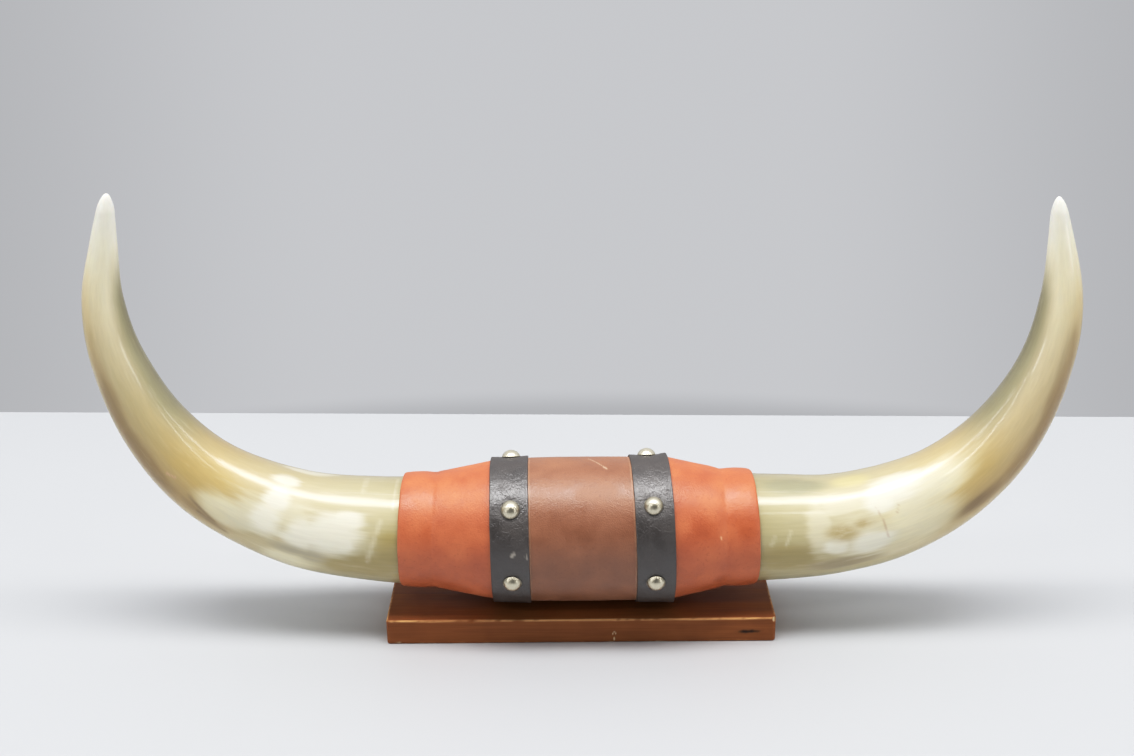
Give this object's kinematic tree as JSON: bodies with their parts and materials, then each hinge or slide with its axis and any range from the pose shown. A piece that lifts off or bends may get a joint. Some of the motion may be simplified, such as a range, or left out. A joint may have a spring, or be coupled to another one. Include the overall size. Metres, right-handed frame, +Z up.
{
  "type": "mounted buffalo horn pair",
  "caption": "Polished upward-curving horns joined end to end by a leather-covered, strapped and studded wooden barrel that stands on a plain board, for display on a shelf",
  "frame": {"origin": "centre of the flat underside of the board, which stands on the table", "axes": "+X from the left horn to the right one as seen from the front, +Y away from the front, +Z up; the barrel's axis runs along X at y 0 and z 0.0678"},
  "size_m": [0.6439, 0.1069, 0.3035],
  "materials": {
    "horn": "polished horn, cream at the tip and olive-tan below, with cloudy white and brown streaks",
    "orange_leather": "smooth orange-tan leather with a soft sheen",
    "brown_leather": "brown leather with a fine pebble grain and a soft sheen",
    "black_leather": "worn black strap leather, creased",
    "nickel": "slightly dulled nickel plate",
    "stained_wood": "red-brown stain with bare wood along worn edges",
    "turned_wood": "plain turned wood, unfinished",
    "screw_steel": "plain zinc-plated steel"
  },
  "bodies": {
    "root": {"horn_left": "horn", "horn_right": "horn", "sleeve_left": "orange_leather", "sleeve_right": "orange_leather", "wood_core": "turned_wood", "leather_center": "brown_leather", "strap_left": "black_leather", "strap_right": "black_leather", "stud_left_1": "nickel", "stud_left_2": "nickel", "stud_left_3": "nickel", "stud_left_4": "nickel", "stud_right_1": "nickel", "stud_right_2": "nickel", "stud_right_3": "nickel", "stud_right_4": "nickel", "base_board": "stained_wood", "mount_screw_left": "screw_steel", "mount_screw_right": "screw_steel"}
  },
  "joints": []
}
